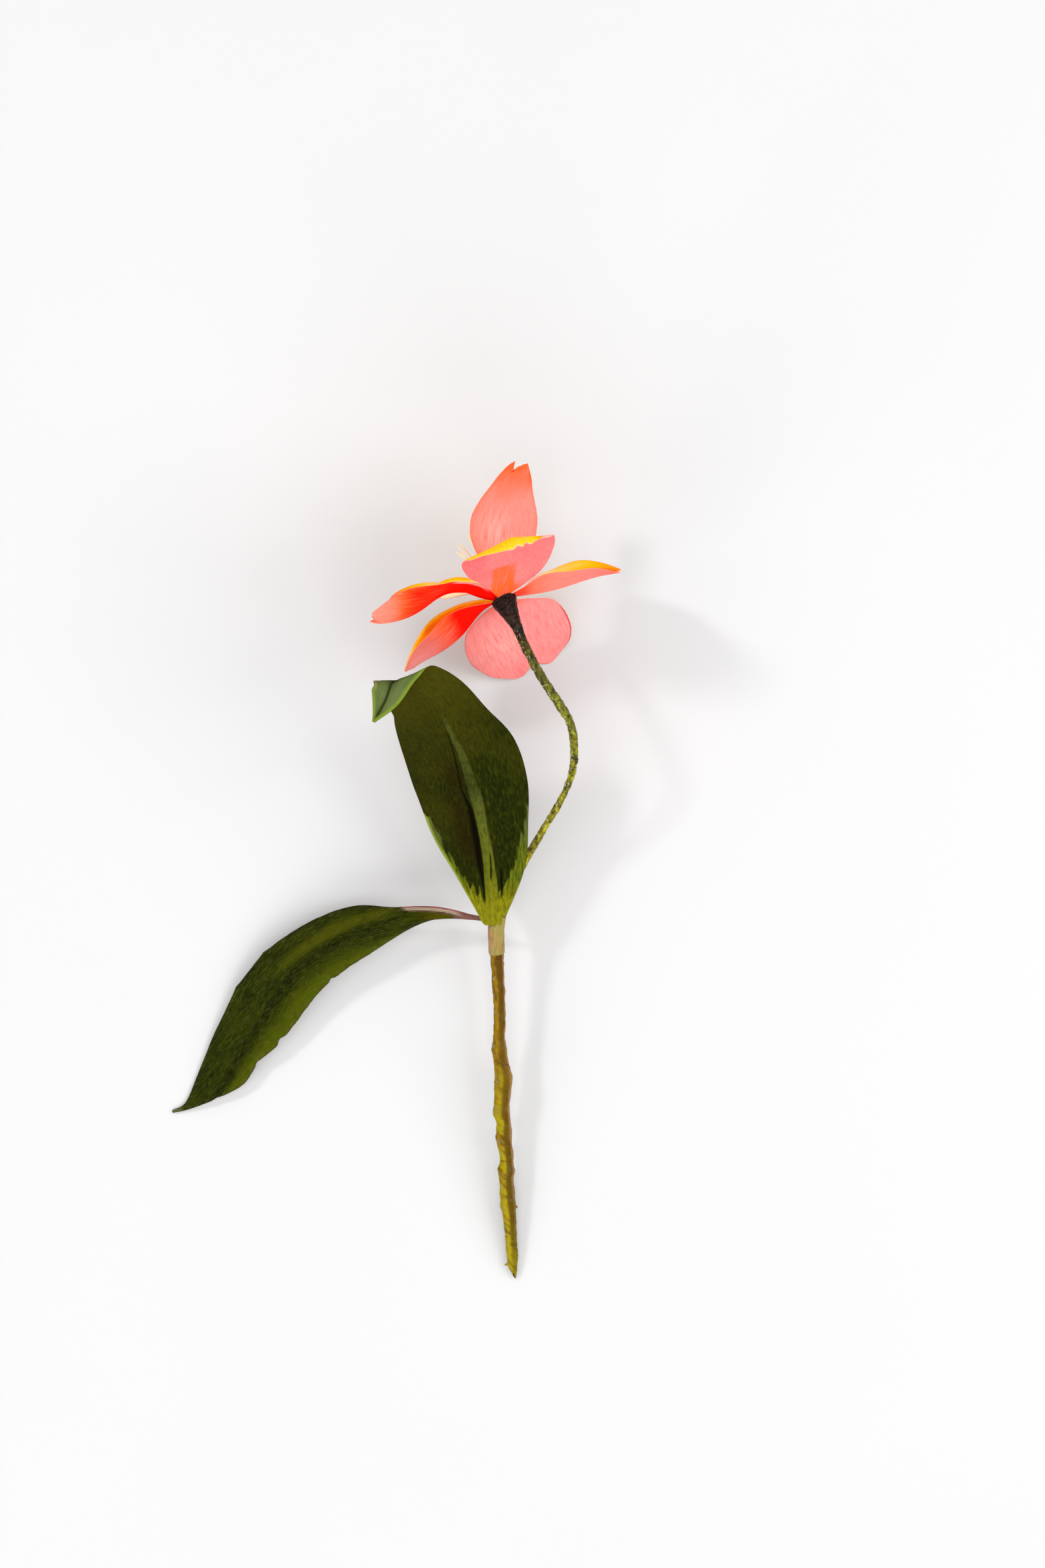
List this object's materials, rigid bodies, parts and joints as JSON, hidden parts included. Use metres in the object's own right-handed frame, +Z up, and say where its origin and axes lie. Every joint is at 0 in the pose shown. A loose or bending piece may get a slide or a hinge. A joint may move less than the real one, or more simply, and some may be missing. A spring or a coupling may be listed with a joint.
{
  "type": "lily stem",
  "caption": "Cut lily-like crepe paper flower lying on a table: coral notched petals round a dark funnel on a bent stalk, with two strap leaves.",
  "frame": {"origin": "on the table, under the middle of the box that the stem fills", "axes": "+Y along the stalk from its cut end towards the bloom, +Z up from the table towards the viewer"},
  "size_m": [0.1688, 0.3026, 0.0913],
  "materials": {
    "stem": "wrapped green-brown crepe paper under a semi-gloss varnish",
    "leaf": "dark olive brush-painted crepe paper with a fine lengthwise grain",
    "petal": "matte coral crepe paper, golden yellow on its inner face",
    "stamens": "matte cream paper filaments with blunt brushed tips"
  },
  "bodies": {
    "root": {"stem": "stem", "leaf_upright": "leaf", "leaf_trailing": "leaf", "petal_outer_near": "petal", "petal_outer_right": "petal", "petal_outer_far": "petal", "petal_outer_low_left": "petal", "petal_outer_left": "petal", "petal_inner_near": "petal", "petal_inner_far": "petal", "stamens": "stamens"}
  },
  "joints": []
}
